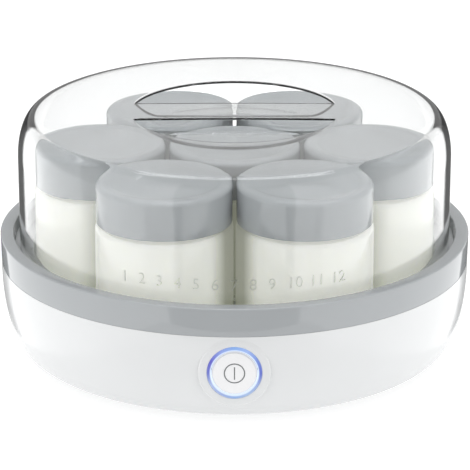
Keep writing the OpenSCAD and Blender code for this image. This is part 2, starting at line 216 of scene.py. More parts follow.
def face_front(obj, height):
    """Turns a lathe's axis to -Y and lifts it: its z becomes the distance to the front."""
    return reshape(obj, lambda co: (co.x, -co.z, co.y + height))


def face_back(obj, height):
    """The same towards +Y."""
    return reshape(obj, lambda co: (-co.x, co.z, co.y + height))


def half_turn(obj):
    """Turns a mesh by 180 degrees about Z."""
    return reshape(obj, lambda co: (-co.x, -co.y, co.z))


def move(obj, offset):
    return reshape(obj, lambda co: co + Vector(offset))


def on_circle(radius, angle):
    """The point of a circle about Z at an angle in degrees, on the floor."""
    return (radius * math.cos(math.radians(angle)), radius * math.sin(math.radians(angle)), 0)


def duplicate(obj, name):
    """A copy with a mesh of its own."""
    copy = bpy.data.objects.new(name, obj.data.copy())
    copy.data.name = name
    bpy.context.collection.objects.link(copy)
    return copy


def box_tool(low, high):
    (x0, y0, z0), (x1, y1, z1) = low, high
    verts = [(x, y, z) for z in (z0, z1) for y in (y0, y1) for x in (x0, x1)]
    faces = [(0, 2, 3, 1), (4, 5, 7, 6), (0, 1, 5, 4), (2, 6, 7, 3), (0, 4, 6, 2), (1, 3, 7, 5)]
    return add_object("tool", verts, faces)


def prism_x(outline, half_length):
    """A solid whose (y, z) outline is drawn out along X, both ways."""
    count = len(outline)
    verts = [(-half_length, y, z) for y, z in outline] + [(half_length, y, z) for y, z in outline]
    faces = [tuple(range(count)), tuple(range(2 * count - 1, count - 1, -1))]
    faces += [(i, i + count, (i + 1) % count + count, (i + 1) % count) for i in range(count)]
    obj = add_object("tool", verts, faces)
    face_outwards(obj)
    return obj


def combine(target, tool, how, keep_tool=False):
    """Joins, cuts or intersects two closed meshes. The tool is used up unless it is kept."""
    modifier = target.modifiers.new("combine", "BOOLEAN")
    modifier.operation = how
    modifier.solver = "MANIFOLD"
    modifier.object = tool
    graph = bpy.context.evaluated_depsgraph_get()
    result = bpy.data.meshes.new_from_object(target.evaluated_get(graph))
    target.modifiers.clear()
    old = target.data
    target.data = result
    bpy.data.meshes.remove(old)
    if not keep_tool:
        bpy.data.objects.remove(tool)
    smooth(target)
    return target


# ---------------------------------------------------------------- material helpers
class Shader:
    """A Principled material and the few nodes that its look needs."""

    def __init__(self, name):
        self.material = bpy.data.materials.new(name)
        self.material.use_nodes = True
        self.tree = self.material.node_tree
        self.principled = self.tree.nodes["Principled BSDF"]
        self.coordinates = self.tree.nodes.new("ShaderNodeTexCoord")

    def set(self, **values):
        for key, value in values.items():
            self.principled.inputs[key.replace("_", " ")].default_value = value
        return self

    def node(self, kind, **values):
        node = self.tree.nodes.new(kind)
        for key, value in values.items():
            setattr(node, key, value)
        return node

    def link(self, source, target):
        self.tree.links.new(source, target)

    def noise(self, scale, detail, stretch=(1, 1, 1), rough=0.5):
        mapping = self.node("ShaderNodeMapping")
        mapping.inputs["Scale"].default_value = stretch
        self.link(self.coordinates.outputs["Object"], mapping.inputs["Vector"])
        noise = self.node("ShaderNodeTexNoise")
        noise.inputs["Scale"].default_value = scale
        noise.inputs["Detail"].default_value = detail
        noise.inputs["Roughness"].default_value = rough
        self.link(mapping.outputs["Vector"], noise.inputs["Vector"])
        return noise.outputs["Fac"]

    def ramp(self, source, stops):
        ramp = self.node("ShaderNodeValToRGB")
        elements = ramp.color_ramp.elements
        while len(elements) < len(stops):
            elements.new(0.5)
        for element, (place, colour) in zip(elements, stops):
            element.position = place
            element.color = (*colour, 1)
        self.link(source, ramp.inputs["Fac"])
        return ramp.outputs["Color"]

    def spread(self, source, low, high):
        """A number that follows a noise from low to high. Few of its values pass 0.3 or 0.7."""
        node = self.node("ShaderNodeMapRange")
        node.inputs["From Min"].default_value = 0.3
        node.inputs["From Max"].default_value = 0.7
        node.inputs["To Min"].default_value = low
        node.inputs["To Max"].default_value = high
        self.link(source, node.inputs["Value"])
        return node.outputs["Result"]

    def height(self, low, high):
        """0 at the height low and 1 at the height high."""
        split = self.node("ShaderNodeSeparateXYZ")
        self.link(self.coordinates.outputs["Object"], split.inputs["Vector"])
        node = self.node("ShaderNodeMapRange")
        node.inputs["From Min"].default_value = low
        node.inputs["From Max"].default_value = high
        self.link(split.outputs["Z"], node.inputs["Value"])
        return node.outputs["Result"]

    def crowded(self, colour, dark):
        """The colour, with painted shade towards the places where a neighbour shuts out the light."""
        near = self.node("ShaderNodeAttribute", attribute_name="painted_shade_amount")
        mix = self.node("ShaderNodeMix", data_type="RGBA", blend_type="MULTIPLY")
        self.link(near.outputs["Fac"], mix.inputs["Factor"])
        self.link(colour, mix.inputs["A"])
        mix.inputs["B"].default_value = (*dark, 1)
        return mix.outputs["Result"]

    def bump(self, source, strength, distance):
        bump = self.node("ShaderNodeBump")
        bump.inputs["Strength"].default_value = strength
        bump.inputs["Distance"].default_value = distance
        self.link(source, bump.inputs["Height"])
        self.link(bump.outputs["Normal"], self.principled.inputs["Normal"])
        return self


def moulded(name, colour, roughness, grain=900, depth=0.02 * MM, vary=0.03, painted_shade_colour=None, **extra):
    """Moulded plastic or rubber: faint colour drift, uneven gloss and a fine surface grain. A shade
    colour, if given, multiplies in painted shade where neighbouring jars shut out the light.
    """
    shader = Shader(name)
    shader.set(**extra)
    drift = shader.noise(35, 4)
    dark = tuple(c * (1 - vary) for c in colour)
    light = tuple(min(1, c * (1 + vary)) for c in colour)
    drifted = shader.ramp(drift, [(0.3, dark), (0.7, light)])
    # Painted shade: darker where the neighbouring jars shut out the light
    if painted_shade_colour:
        drifted = shader.crowded(drifted, painted_shade_colour)
    shader.link(drifted, shader.principled.inputs["Base Color"])
    gloss = shader.noise(160, 5)
    shader.link(shader.spread(gloss, roughness * 0.85, roughness * 1.15),
                shader.principled.inputs["Roughness"])
    shader.bump(shader.noise(grain, 4), 0.25, depth)
    return shader.material


def brushed(name, colour, roughness):
    """Plated or sheet metal with fine directional scratches."""
    shader = Shader(name)
    shader.set(Metallic=1.0)
    scratches = shader.noise(400, 6, stretch=(1, 1, 14), rough=0.6)
    dark = tuple(c * 0.82 for c in colour)
    shader.link(shader.ramp(scratches, [(0.3, dark), (0.7, colour)]),
                shader.principled.inputs["Base Color"])
    shader.link(shader.spread(scratches, roughness * 0.7, roughness * 1.3),
                shader.principled.inputs["Roughness"])
    shader.bump(scratches, 0.2, 0.03 * MM)
    return shader.material


def clear(name, colour, ior, roughness=0.0, wave=0.0):
    """Clear plastic or glass, with the faint waviness of its mould."""
    shader = Shader(name)
    shader.set(Transmission_Weight=1.0, IOR=ior)
    streaks = shader.noise(18, 2)
    pale = tuple(min(1, c * 1.01) for c in colour)
    shader.link(shader.ramp(streaks, [(0.3, colour), (0.7, pale)]),
                shader.principled.inputs["Base Color"])
    shader.link(shader.spread(streaks, roughness * 0.5, roughness),
                shader.principled.inputs["Roughness"])
    if wave:
        shader.bump(shader.noise(30, 1), 0.15, wave)
    return shader.material


def yogurt_material():
    """Set yogurt: creamy white, a little greener low in the jar, with fine clots. It glows a little in its
    own colour, as painted light, and gets painted shade where neighbouring jars shut out the light.
    """
    shader = Shader("yogurt")
    shader.set(Roughness=0.42, Subsurface_Weight=0.25, Subsurface_Scale=0.006, IOR=1.42,
               Subsurface_Radius=(1.0, 0.9, 0.6), Emission_Strength=0.43)
    level = shader.ramp(shader.height(SEAT_Z, CAP_Z), [
        (0.0, (0.90, 0.92, 0.80)),
        (0.35, (0.94, 0.94, 0.88)),
        (0.8, (0.95, 0.95, 0.90)),
    ])
    clots = shader.ramp(shader.noise(260, 5), [(0.3, (0.965, 0.965, 0.955)), (0.7, (1, 1, 1))])
    mix = shader.node("ShaderNodeMix", data_type="RGBA", blend_type="MULTIPLY")
    mix.inputs["Factor"].default_value = 1
    shader.link(level, mix.inputs["A"])
    shader.link(clots, mix.inputs["B"])
    # Painted shade where the neighbouring jars shut out the light
    colour = shader.crowded(mix.outputs["Result"], (0.28, 0.29, 0.22))
    shader.link(colour, shader.principled.inputs["Base Color"])
    # Painted light: the yogurt glows a little in its own colour, at the emission strength set above
    shader.link(colour, shader.principled.inputs["Emission Color"])
    shader.bump(shader.noise(420, 4), 0.2, 0.05 * MM)
    return shader.material


def glow_material():
    """The light ring's milky plastic, lit blue from behind and whitish along its inner edge."""
    shader = Shader("blue_glow")
    shader.set(Roughness=0.3, Emission_Strength=1.0, Base_Color=(0.05, 0.06, 0.12, 1))
    mapping = shader.node("ShaderNodeMapping")
    mapping.inputs["Location"].default_value = (0, 0, -BUTTON_Z)
    mapping.inputs["Scale"].default_value = (1, 0, 1)
    shader.link(shader.coordinates.outputs["Object"], mapping.inputs["Vector"])
    turn = shader.node("ShaderNodeVectorRotate", rotation_type="X_AXIS")
    turn.inputs["Angle"].default_value = -math.pi / 2
    shader.link(mapping.outputs["Vector"], turn.inputs["Vector"])
    around = shader.node("ShaderNodeTexGradient", gradient_type="RADIAL")
    shader.link(turn.outputs["Vector"], around.inputs["Vector"])
    # Turns from the left, anticlockwise as seen from the front
    colour = shader.ramp(around.outputs["Fac"], [
        (0.00, (0.10, 0.12, 0.46)), (0.08, (0.36, 0.45, 0.66)), (0.17, (0.28, 0.36, 0.60)),
        (0.25, (0.22, 0.36, 0.62)), (0.33, (0.32, 0.44, 0.63)), (0.42, (0.27, 0.36, 0.60)),
        (0.50, (0.06, 0.09, 0.46)), (0.58, (0.12, 0.20, 0.54)), (0.67, (0.30, 0.42, 0.74)),
        (0.75, (0.20, 0.37, 0.70)), (0.83, (0.23, 0.31, 0.66)), (0.92, (0.07, 0.06, 0.45)),
        (1.00, (0.10, 0.12, 0.46)),
    ])
    distance = shader.node("ShaderNodeVectorMath", operation="LENGTH")
    shader.link(mapping.outputs["Vector"], distance.inputs[0])
    edge = shader.node("ShaderNodeMapRange")
    edge.inputs["From Min"].default_value = button_high.x + 0.5 * MM
    edge.inputs["From Max"].default_value = button_high.x + 1.1 * MM
    shader.link(distance.outputs["Value"], edge.inputs["Value"])
    mix = shader.node("ShaderNodeMix", data_type="RGBA")
    shader.link(edge.outputs["Result"], mix.inputs["Factor"])
    mix.inputs["A"].default_value = (0.70, 0.80, 0.92, 1)
    shader.link(colour, mix.inputs["B"])
    shader.link(mix.outputs["Result"], shader.principled.inputs["Emission Color"])
    shader.bump(shader.noise(700, 3), 0.1, 0.01 * MM)
    return shader.material


def board_material():
    """Green solder mask over copper tracks."""
    shader = Shader("circuit_board")
    shader.set(Roughness=0.35)
    tracks = shader.node("ShaderNodeTexBrick")
    tracks.inputs["Scale"].default_value = 90
    tracks.inputs["Mortar Size"].default_value = 0.012
    tracks.inputs["Color1"].default_value = (0.02, 0.16, 0.06, 1)
    tracks.inputs["Color2"].default_value = (0.02, 0.14, 0.05, 1)
    tracks.inputs["Mortar"].default_value = (0.06, 0.30, 0.12, 1)
    swap = shader.node("ShaderNodeVectorRotate", rotation_type="X_AXIS")
    swap.inputs["Angle"].default_value = math.pi / 2
    shader.link(shader.coordinates.outputs["Object"], swap.inputs["Vector"])
    shader.link(swap.outputs["Vector"], tracks.inputs["Vector"])
    shader.link(tracks.outputs["Color"], shader.principled.inputs["Base Color"])
    shader.bump(tracks.outputs["Fac"], 0.3, 0.03 * MM)
    return shader.material


WHITE = moulded("white_plastic", (0.675, 0.685, 0.69), 0.18, grain=500, depth=0.004 * MM, vary=0.01)
GREY = moulded("grey_plastic", (0.33, 0.347, 0.358), 0.05, grain=700, depth=0.002 * MM, vary=0.015,
               IOR=1.62)
PAN = moulded("basin_coating", (0.33, 0.345, 0.35), 0.3, grain=1400, depth=0.02 * MM, vary=0.04)
# The caps get painted shade towards their neighbouring caps
CAP = moulded("cap_plastic", (0.475, 0.505, 0.524), 0.07, grain=600, depth=0.003 * MM, vary=0.015,
              painted_shade_colour=(0.45, 0.46, 0.46), IOR=1.58)
LINER = moulded("liner_foam", (0.82, 0.82, 0.79), 0.6, grain=2200, depth=0.06 * MM)
RUBBER = moulded("grey_rubber", (0.10, 0.10, 0.105), 0.62, grain=1500, depth=0.05 * MM, vary=0.08)
BUTTON = moulded("button_plastic", (0.80, 0.80, 0.81), 0.22, grain=800, depth=0.01 * MM, vary=0.01)
INK = moulded("icon_print", (0.13, 0.14, 0.145), 0.5, grain=1800, depth=0.01 * MM)
CLEAR = clear("clear_plastic", (0.985, 0.99, 0.99), 1.5, 0.02, wave=0.02 * MM)
# The numbers are frosted, and their grey tint is painted shade for the shading along their raised edges
FROST_AND_SHADE = clear("number_frost_and_shade", (0.72, 0.74, 0.73), 1.5, 0.4)
GLASS = clear("jar_glass", (0.97, 0.985, 0.975), 1.5, 0.03, wave=0.03 * MM)
YOGURT = yogurt_material()
GLOW = glow_material()
STEEL = brushed("zinc_steel", (0.60, 0.60, 0.62), 0.35)

NODE_MATERIALS = {
    "cover_screws": STEEL,
    "collar_screws": STEEL,
    "pan_screws": STEEL,
    "board_screws": STEEL,
    "bracket_screws": STEEL,
    "terminal_screw": STEEL,
    "sensor_bracket": brushed("bracket_sheet", (0.55, 0.56, 0.57), 0.3),
    "switch_body": moulded("black_plastic", (0.02, 0.02, 0.022), 0.45, grain=1600),
    "switch_plunger": moulded("switch_brown", (0.12, 0.06, 0.03), 0.4),
    "thermostat": moulded("phenolic_black", (0.025, 0.022, 0.02), 0.4, grain=1200),
    "control_board": board_material(),
    "ring_leds": moulded("led_epoxy", (0.62, 0.72, 0.90), 0.15, Transmission_Weight=0.4),
    "board_relay": moulded("relay_case", (0.03, 0.05, 0.16), 0.35, grain=1300),
    "board_capacitor": moulded("capacitor_sleeve", (0.05, 0.06, 0.08), 0.3),
    "heater_mat": moulded("heater_silicone", (0.45, 0.14, 0.04), 0.55, grain=1100, depth=0.2 * MM,
                          vary=0.12),
    "thermal_fuse": moulded("fuse_ceramic", (0.72, 0.70, 0.64), 0.3),
    "terminal_block": moulded("nylon_natural", (0.66, 0.63, 0.54), 0.4, Subsurface_Weight=0.2,
                              Subsurface_Scale=0.002),
    "mains_leads": moulded("lead_brown", (0.09, 0.04, 0.02), 0.45),
    "heater_leads": moulded("lead_red", (0.35, 0.03, 0.02), 0.5),
}


def paint(obj, material):
    """Leaves the object with this one material."""
    obj.data.materials.clear()
    obj.data.materials.append(material)
    return obj


def settle(piece, body, material, node=None):
    """Gives a finished piece its material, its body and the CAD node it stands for."""
    paint(piece, material)
    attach(piece, body)
    if node:
        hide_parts(node)
    return piece


# ---------------------------------------------------------------- base
def bowl_side(inset, low, steps=56):
    """The bowl's side, moved inwards: a superellipse from the rim down to the height low."""
    tall = RIM_Z - BOWL_BOTTOM - inset
    last = math.asin(min(1, ((RIM_Z - low) / tall) ** (BOWL_ROUND_DOWN / 2)))
    points = []
    for k in range(steps + 1):
        a = last * k / steps
        points.append((
            BOWL_FLAT_R + (BOWL_R - BOWL_FLAT_R - inset) * max(0, math.cos(a)) ** (2 / BOWL_ROUND_OUT),
            RIM_Z - tall * math.sin(a) ** (2 / BOWL_ROUND_DOWN),
        ))
    return points


def boss_cup(outer_r, hole_r, wall, front, back, edge):
    """A round boss with a hole in its face, hollow behind. Its z is the distance from the middle."""
    return lathe("tool", rounded([
        (hole_r, front, 0.4 * MM),
        (outer_r, front, edge),
        (outer_r, back, 0),
        (outer_r - wall, back, 0),
        (outer_r - wall, front - BOWL_WALL, 0),
        (hole_r, front - BOWL_WALL, 0),
    ], steps=7), segments=128)


def cylinder_tool(radius, top, bottom):
    outline = [(0, bottom), (radius, bottom), (radius, top), (0, top)]
    return lathe("tool", outline, 128, closed=False)


def make_bowl():
    """The white bowl: its shell, the cover's recess, the button's boss and the inlet's boss."""
    ledge_r, recess_r = 80 * MM, 91.9 * MM
    inside, overlap, groove = 100 * MM, 1 * MM, 0.15 * MM
    ledge_top = cover_high.z + BOWL_WALL
    outline = bowl_side(0, BOWL_BOTTOM)
    outline += [(ledge_r, BOWL_BOTTOM), (ledge_r, ledge_top)]
    outline += bowl_side(BOWL_WALL, ledge_top)[::-1]
    bowl = lathe("housing_bowl_shell", outline, 320)
    cover_recess = cylinder_tool(recess_r, cover_high.z, BOWL_BOTTOM - 2 * MM)
    combine(bowl, cover_recess, "DIFFERENCE")
    # At each boss the wall is cut back to the face's plane, then opened, then the boss is joined in
    face = -BOSS_Y
    combine(bowl, face_front(cylinder_tool(BOSS_R + groove, OUTSIDE, face), BUTTON_Z), "DIFFERENCE")
    combine(bowl, face_front(cylinder_tool(BOSS_R - overlap, OUTSIDE, inside), BUTTON_Z), "DIFFERENCE")
    ring_hole_r, boss_wall, boss_back, boss_edge = ring_high.x - 1.55 * MM, 2.4 * MM, 112 * MM, 1.1 * MM
    cup = boss_cup(BOSS_R, ring_hole_r, boss_wall, face, boss_back, boss_edge)
    combine(bowl, face_front(cup, BUTTON_Z), "UNION")
    inlet_r, hole_r = 10.5 * MM, BUSH_NECK_R + 0.05 * MM
    inlet_face = bush_high.y - BUSH_FLANGE
    inlet_end = inlet_face - 6.7 * MM
    combine(bowl, face_back(cylinder_tool(inlet_r + groove, OUTSIDE, inlet_face), BUSH_Z), "DIFFERENCE")
    combine(bowl, face_back(cylinder_tool(inlet_r - overlap, OUTSIDE, inside), BUSH_Z), "DIFFERENCE")
    inlet = lathe("tool", rounded([
        (hole_r, inlet_face, 0.3 * MM), (inlet_r, inlet_face, 0.8 * MM),
        (inlet_r, inlet_end, 0), (hole_r, inlet_end, 0),
    ]), 96)
    combine(bowl, face_back(inlet, BUSH_Z), "UNION")
    settle(bowl, "base", WHITE, "housing_bowl")


def make_collar():
    """The grey collar: a channel with the lid's seat inside it, and a tongue down into the bowl."""
    wall, thin_wall, tongue_end = 2.4 * MM, 1.8 * MM, RIM_Z - 3.8 * MM
    notch_half = 19.5 * MM
    # The lid stands on a ledge from lip_r out to seat_edge
    lip_r, seat_edge = 105.2 * MM, LID_R + 3.15 * MM
    ledge_under = pan_high.z
    tongue_r = BOWL_R - BOWL_WALL - 0.4 * MM
    outline = rounded([
        (BOWL_R, RIM_Z, 0.35 * MM),
        (COLLAR_R, COLLAR_TOP, 0.9 * MM),
        (seat_edge, COLLAR_TOP, 0.8 * MM),
        (seat_edge - 0.6 * MM, LID_SEAT, 0.5 * MM),
        (lip_r, LID_SEAT, 0.9 * MM),
        (lip_r, ledge_under, 0.3 * MM),
        (seat_edge + thin_wall, ledge_under, 0),
        (seat_edge + thin_wall, COLLAR_TOP - wall, 0),
        (COLLAR_R - wall, COLLAR_TOP - wall, 0),
        (COLLAR_R - wall, RIM_Z + wall, 0),
        (tongue_r - thin_wall, RIM_Z + wall, 0),
        (tongue_r - thin_wall, tongue_end, 0),
        (tongue_r, tongue_end, 0),
        (tongue_r, RIM_Z, 0),
    ], steps=7)
    collar = lathe("collar_ring_shell", outline, 320)
    # The tongue is cut away at the button's boss
    notch_low = (-notch_half, -130 * MM, RIM_Z - 6 * MM)
    notch_high = (notch_half, -105 * MM, RIM_Z - 0.05 * MM)
    combine(collar, box_tool(notch_low, notch_high), "DIFFERENCE")
    settle(collar, "base", GREY, "collar_ring")


def jar_place(name):
    """The middle of a jar's seat, from the CAD jar of that name."""
    low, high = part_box(f"jar_glass_{name}")
    return ((low.x + high.x) / 2, (low.y + high.y) / 2, 0)


def make_pan():
    """The grey basin, with a shallow round seat for each jar."""
    inner_r, thick, corner = 105.4 * MM, 1.5 * MM, 3 * MM
    floor = SEAT_Z + 2 * MM
    outline = [(0, SEAT_Z - thick)]
    outline += arc(inner_r - corner, SEAT_Z + corner, corner + thick, -90, 0)
    outline += rounded([
        (inner_r + thick, pan_high.z - thick, 0.2 * MM),
        (pan_high.x, pan_high.z - thick, 0.2 * MM),
        (pan_high.x, pan_high.z, 0.2 * MM),
        (inner_r, pan_high.z, 0.6 * MM),
    ])
    outline += arc(inner_r - corner, floor + corner, corner, 0, -90)
    outline += [(0, floor)]
    pan = lathe("basin", outline, 256, closed=False)
    round_in, round_out, above = 1 * MM, 0.4 * MM, floor + 6 * MM
    seat_r, mouth_r = JAR_R - 0.2 * MM, JAR_R + 0.2 * MM
    seat_outline = [(0, SEAT_Z)] + arc(seat_r - round_in, SEAT_Z + round_in, round_in, -90, 0)
    seat_outline += arc(mouth_r, floor - round_out, round_out, 180, 90, steps=5)
    seat_outline += [(mouth_r, above), (0, above)]
    for place in JAR_PLACES:
        seat = lathe("tool", seat_outline, 128, closed=False)
        combine(pan, move(seat, jar_place(place)), "DIFFERENCE")
    settle(pan, "base", PAN, "heating_pan")


def make_cover():
    """The bottom cover, with its row of vents and its four screw holes."""
    radius = cover_high.x
    vents, vent_pitch, vent_half_width, vent_half_length = 7, 10 * MM, 1.5 * MM, 18 * MM
    screw_circle_r, screw_hole_r = 86 * MM, 1.7 * MM
    above = 20 * MM
    cover = lathe("bottom_cover_plate", [(0, cover_low.z)] + rounded([
        (radius, cover_low.z, 0.6 * MM), (radius, cover_high.z, 0.3 * MM),
    ]) + [(0, cover_high.z)], 256, closed=False)
    for k in range(vents):
        x = (k - vents // 2) * vent_pitch
        slot = box_tool((x - vent_half_width, -vent_half_length, 0),
                        (x + vent_half_width, vent_half_length, above))
        combine(cover, slot, "DIFFERENCE")
    for angle in range(0, 360, 90):
        hole = cylinder_tool(screw_hole_r, above, 0)
        combine(cover, move(hole, on_circle(screw_circle_r, angle)), "DIFFERENCE")
    settle(cover, "base", WHITE, "bottom_cover")


def make_feet():
    """Four rubber feet, each with a plug through the cover and a barb above it."""
    circle_r, foot_r, plug_r, barb_r, tip_r = 76 * MM, 8 * MM, 3 * MM, 3.4 * MM, 2.4 * MM
    tip_z = cover_high.z + 1.8 * MM
    foot_outline = [(0, 0)] + rounded([
        (foot_r, 0, 1.0 * MM), (foot_r, BOWL_BOTTOM, 0.2 * MM),
        (plug_r, BOWL_BOTTOM, 0), (plug_r, cover_high.z, 0),
        (barb_r, cover_high.z, 0.1 * MM), (barb_r, cover_high.z + 0.6 * MM, 0.2 * MM),
        (tip_r, tip_z, 0.2 * MM),
    ]) + [(0, tip_z)]
    for k, angle in enumerate((45, 135, 225, 315)):
        foot = lathe(f"rubber_foot_{k + 1}", foot_outline, 72, closed=False)
        settle(move(foot, on_circle(circle_r, angle)), "base", RUBBER, "rubber_feet")


def make_button_group():
    """The light ring and the button in it, with its stem and its icon."""
    flange = 1.6 * MM
    ring_in = button_high.x + 0.3 * MM
    ring_out = ring_high.x - flange
    front, back = -ring_low.y, -ring_high.y
    shoulder = -BOSS_Y - BOWL_WALL
    ring = lathe("light_ring_lens", rounded([
        (ring_in, back, 0), (ring_out, back, 0), (ring_out, shoulder - 1.2 * MM, 0),
        (ring_out + flange, shoulder - 1.2 * MM, 0), (ring_out + flange, shoulder, 0),
        (ring_out, shoulder, 0), (ring_out, front, 0.55 * MM), (ring_in, front, 0.55 * MM),
    ], steps=7), 160)
    settle(face_front(ring, BUTTON_Z), "base", GLOW, "light_ring")
    face = -button_low.y
    radius = button_high.x
    stem_end = -button_high.y + 0.8 * MM
    stem_r, skirt_r, dip = 2.4 * MM, radius - 1.4 * MM, 0.25 * MM
    skirt_end, bore_end = 114.5 * MM, 115.3 * MM
    crown = [(radius * k / 10 * 0.93, face - dip * (k / 10) ** 2) for k in range(10, -1, -1)]
    cap = lathe("power_button_cap", rounded([
        (stem_r, stem_end, 0.2 * MM),
        (stem_r, face - 2 * MM, 0.3 * MM),
        (skirt_r, face - 2 * MM, 0.3 * MM),
        (skirt_r, skirt_end, 0.2 * MM),
        (radius, skirt_end, 0.2 * MM),
        (radius, face - dip, 0.6 * MM),
    ], steps=6) + crown + [(0, bore_end), (2.2 * MM, bore_end)], 160)
    settle(face_front(cap, BUTTON_Z), "button", BUTTON, "power_button")
    make_icon(face)


def make_icon(face):
    """A plain circle with a bar in it, printed on the button."""
    lift, sunk, radius, line, bar_half = 0.03 * MM, 0.2 * MM, 4.95 * MM, 0.27 * MM, 3.3 * MM
    ring = lathe("icon_circle", rounded([
        (radius - line, face - sunk, 0), (radius + line, face - sunk, 0),
        (radius + line, face + lift, 0.02 * MM), (radius - line, face + lift, 0.02 * MM),
    ], steps=3), 96)
    settle(face_front(ring, BUTTON_Z), "button", INK)
    bar = box_tool((-line * 1.1, -face - lift, BUTTON_Z - bar_half),
                   (line * 1.1, -face + sunk, BUTTON_Z + bar_half))
    bar.name = "icon_bar"
    bevel = bar.modifiers.new("edges", "BEVEL")
    bevel.width, bevel.segments = 0.08 * MM, 3
    settle(bar, "button", INK)


def make_bush():
    """The bush in the cord's inlet: a flange outside, a neck and a barb inside."""
    outer, inner = bush_high.y, bush_low.y
    bush = lathe("cord_inlet_bush", rounded([
        (BUSH_BORE_R, outer, 0.5 * MM),
        (BUSH_FLANGE_R, outer, 0.6 * MM),
        (BUSH_FLANGE_R, outer - BUSH_FLANGE, 0.1 * MM),
        (BUSH_NECK_R, outer - BUSH_FLANGE, 0),
        (BUSH_NECK_R, inner + BUSH_FLANGE, 0),
        (BUSH_BARB_R, inner + BUSH_FLANGE, 0.2 * MM),
        (BUSH_BARB_R, inner, 0.4 * MM),
        (BUSH_BORE_R, inner, 0.3 * MM),
    ]), 96)
    settle(face_back(bush, BUSH_Z), "base", RUBBER, "cord_bush")


# ---------------------------------------------------------------- lid
SHOULDER_W, SHOULDER_H, CROWN = 8.4 * MM, 21.5 * MM, 1.3 * MM
SHOULDER_Z = LID_TOP - CROWN - SHOULDER_H
FLAT_R = LID_R - SHOULDER_W
HANDLE_R, WELL_FLOOR_R, WELL_DEPTH, BAR_HALF = 53.5 * MM, 38 * MM, 8.2 * MM, 14 * MM
# A well's side is an ellipse's arc that ends at WELL_STOP, about WELL_SLOPE degrees steep there
WELL_STOP, WELL_SLOPE = math.radians(40), 54
WELL_RIM = 0.8 * MM
EDGE_R = 1.15 * MM
CROWN_STEPS = 28
# Where the shoulder starts further in on the inside of the wall, as a share of the wall
INNER_BEND = 0.65


def lid_side(inset, under, start):
    """The lid from its lower edge over the shoulder to its middle, moved in and, on top, down."""
    points = [(LID_R - inset, z) for z in np.linspace(start, SHOULDER_Z, 12)[:-1]]
    bend_r = FLAT_R - INNER_BEND * inset
    points += arc(bend_r, SHOULDER_Z, LID_R - inset - bend_r, 0, 89.4, 32, SHOULDER_H - under)
    for k in range(CROWN_STEPS - 1, -1, -1):
        r = bend_r * k / CROWN_STEPS
        points.append((r, LID_TOP - under - CROWN * (r / bend_r) ** 2))
    return points


def top_height(r):
    """How high the lid's top is at a distance from the middle."""
    return LID_TOP - CROWN * (r / FLAT_R) ** 2


def well_tool(grow, flare):
    """One finger well as a solid: a bowl shape, cut off by the bar's straight wall.

    grow moves its skin outwards, and flare rounds its rim.
    """
    rim_z = top_height(HANDLE_R)
    above = rim_z + 5 * MM
    rise = rim_z - (LID_TOP - WELL_DEPTH)
    bottom = rim_z - rise - grow
    slope = math.radians(WELL_SLOPE)
    drop = flare * (1 - math.cos(slope))
    wide = (HANDLE_R - WELL_FLOOR_R + grow) / math.cos(WELL_STOP)
    tall = (rise - drop + grow) / (1 - math.sin(WELL_STOP))
    outline = [(WELL_FLOOR_R * k / 6, bottom) for k in range(6)]
    outline += arc(WELL_FLOOR_R, bottom + tall, wide, -90, -math.degrees(WELL_STOP), 18, tall)
    if flare:
        reach = flare * math.sin(slope)
        outline += arc(HANDLE_R + reach, rim_z - flare, flare, 90 + WELL_SLOPE, 92, 6)[1:]
        outline += [(HANDLE_R + reach, above)]
    else:
        outline += [(HANDLE_R + grow, above)]
    outline += [(0, above)]
    bowl = lathe("tool", outline, 256, closed=False)
    wall = BAR_HALF - grow
    bend = 1.6 * MM + grow
    far, block_top, block_bottom = 80 * MM, rim_z + 8 * MM, bottom - 4 * MM
    section = [(wall - flare, block_top)]
    if flare:
        section += [(wall - flare, rim_z + 0.2 * MM)]
        section += arc(wall - flare, rim_z - flare + 0.15 * MM, flare, 88, 0, 6)
    section += arc(wall + bend, bottom + bend, bend, 180, 268, 8)
    section += [(wall + bend, block_bottom), (far, block_bottom), (far, block_top)]
    return combine(bowl, prism_x(section, far), "INTERSECT")


def number_angles():
    """Where the numbers stand on the lid's wall, in degrees from the front."""
    first, step = -28.6, 4.75
    ninth, wide_step = 9.4, 5.85
    one_digit = [first + step * (n - 1) for n in range(1, 10)]
    return one_digit + [ninth + wide_step * (n - 9) for n in range(10, 13)]


def number_mesh(number, angle):
    """A raised number, bent to the lid's wall. Its own faces are frosted, with a grey tint as painted
    shade.
    """
    sunk, baseline_z = 0.2 * MM, COLLAR_TOP + 6.0 * MM
    curve = bpy.data.curves.new("number", "FONT")
    curve.body = str(number)
    curve.align_x, curve.align_y = "CENTER", "BOTTOM_BASELINE"
    curve.size = 8.1 * MM
    curve.extrude = 0.5 * MM
    curve.resolution_u = 4
    curve.space_character = 1.05
    text = bpy.data.objects.new("number", curve)
    bpy.context.collection.objects.link(text)
    graph = bpy.context.evaluated_depsgraph_get()
    mesh = bpy.data.meshes.new_from_object(text.evaluated_get(graph))
    bpy.data.objects.remove(text)
    for v in mesh.vertices:
        along = math.radians(angle) + v.co.x / LID_R
        out = LID_R - sunk + v.co.z
        v.co = (out * math.sin(along), -out * math.cos(along), baseline_z + v.co.y)
    obj = bpy.data.objects.new("tool", mesh)
    bpy.context.collection.objects.link(obj)
    paint(obj, CLEAR)
    mesh.materials.append(FROST_AND_SHADE)
    mesh.polygons.foreach_set("material_index", [1] * len(mesh.polygons))
    weld = obj.modifiers.new("weld", "WELD")
    weld.merge_threshold = 0.001 * MM
    return obj


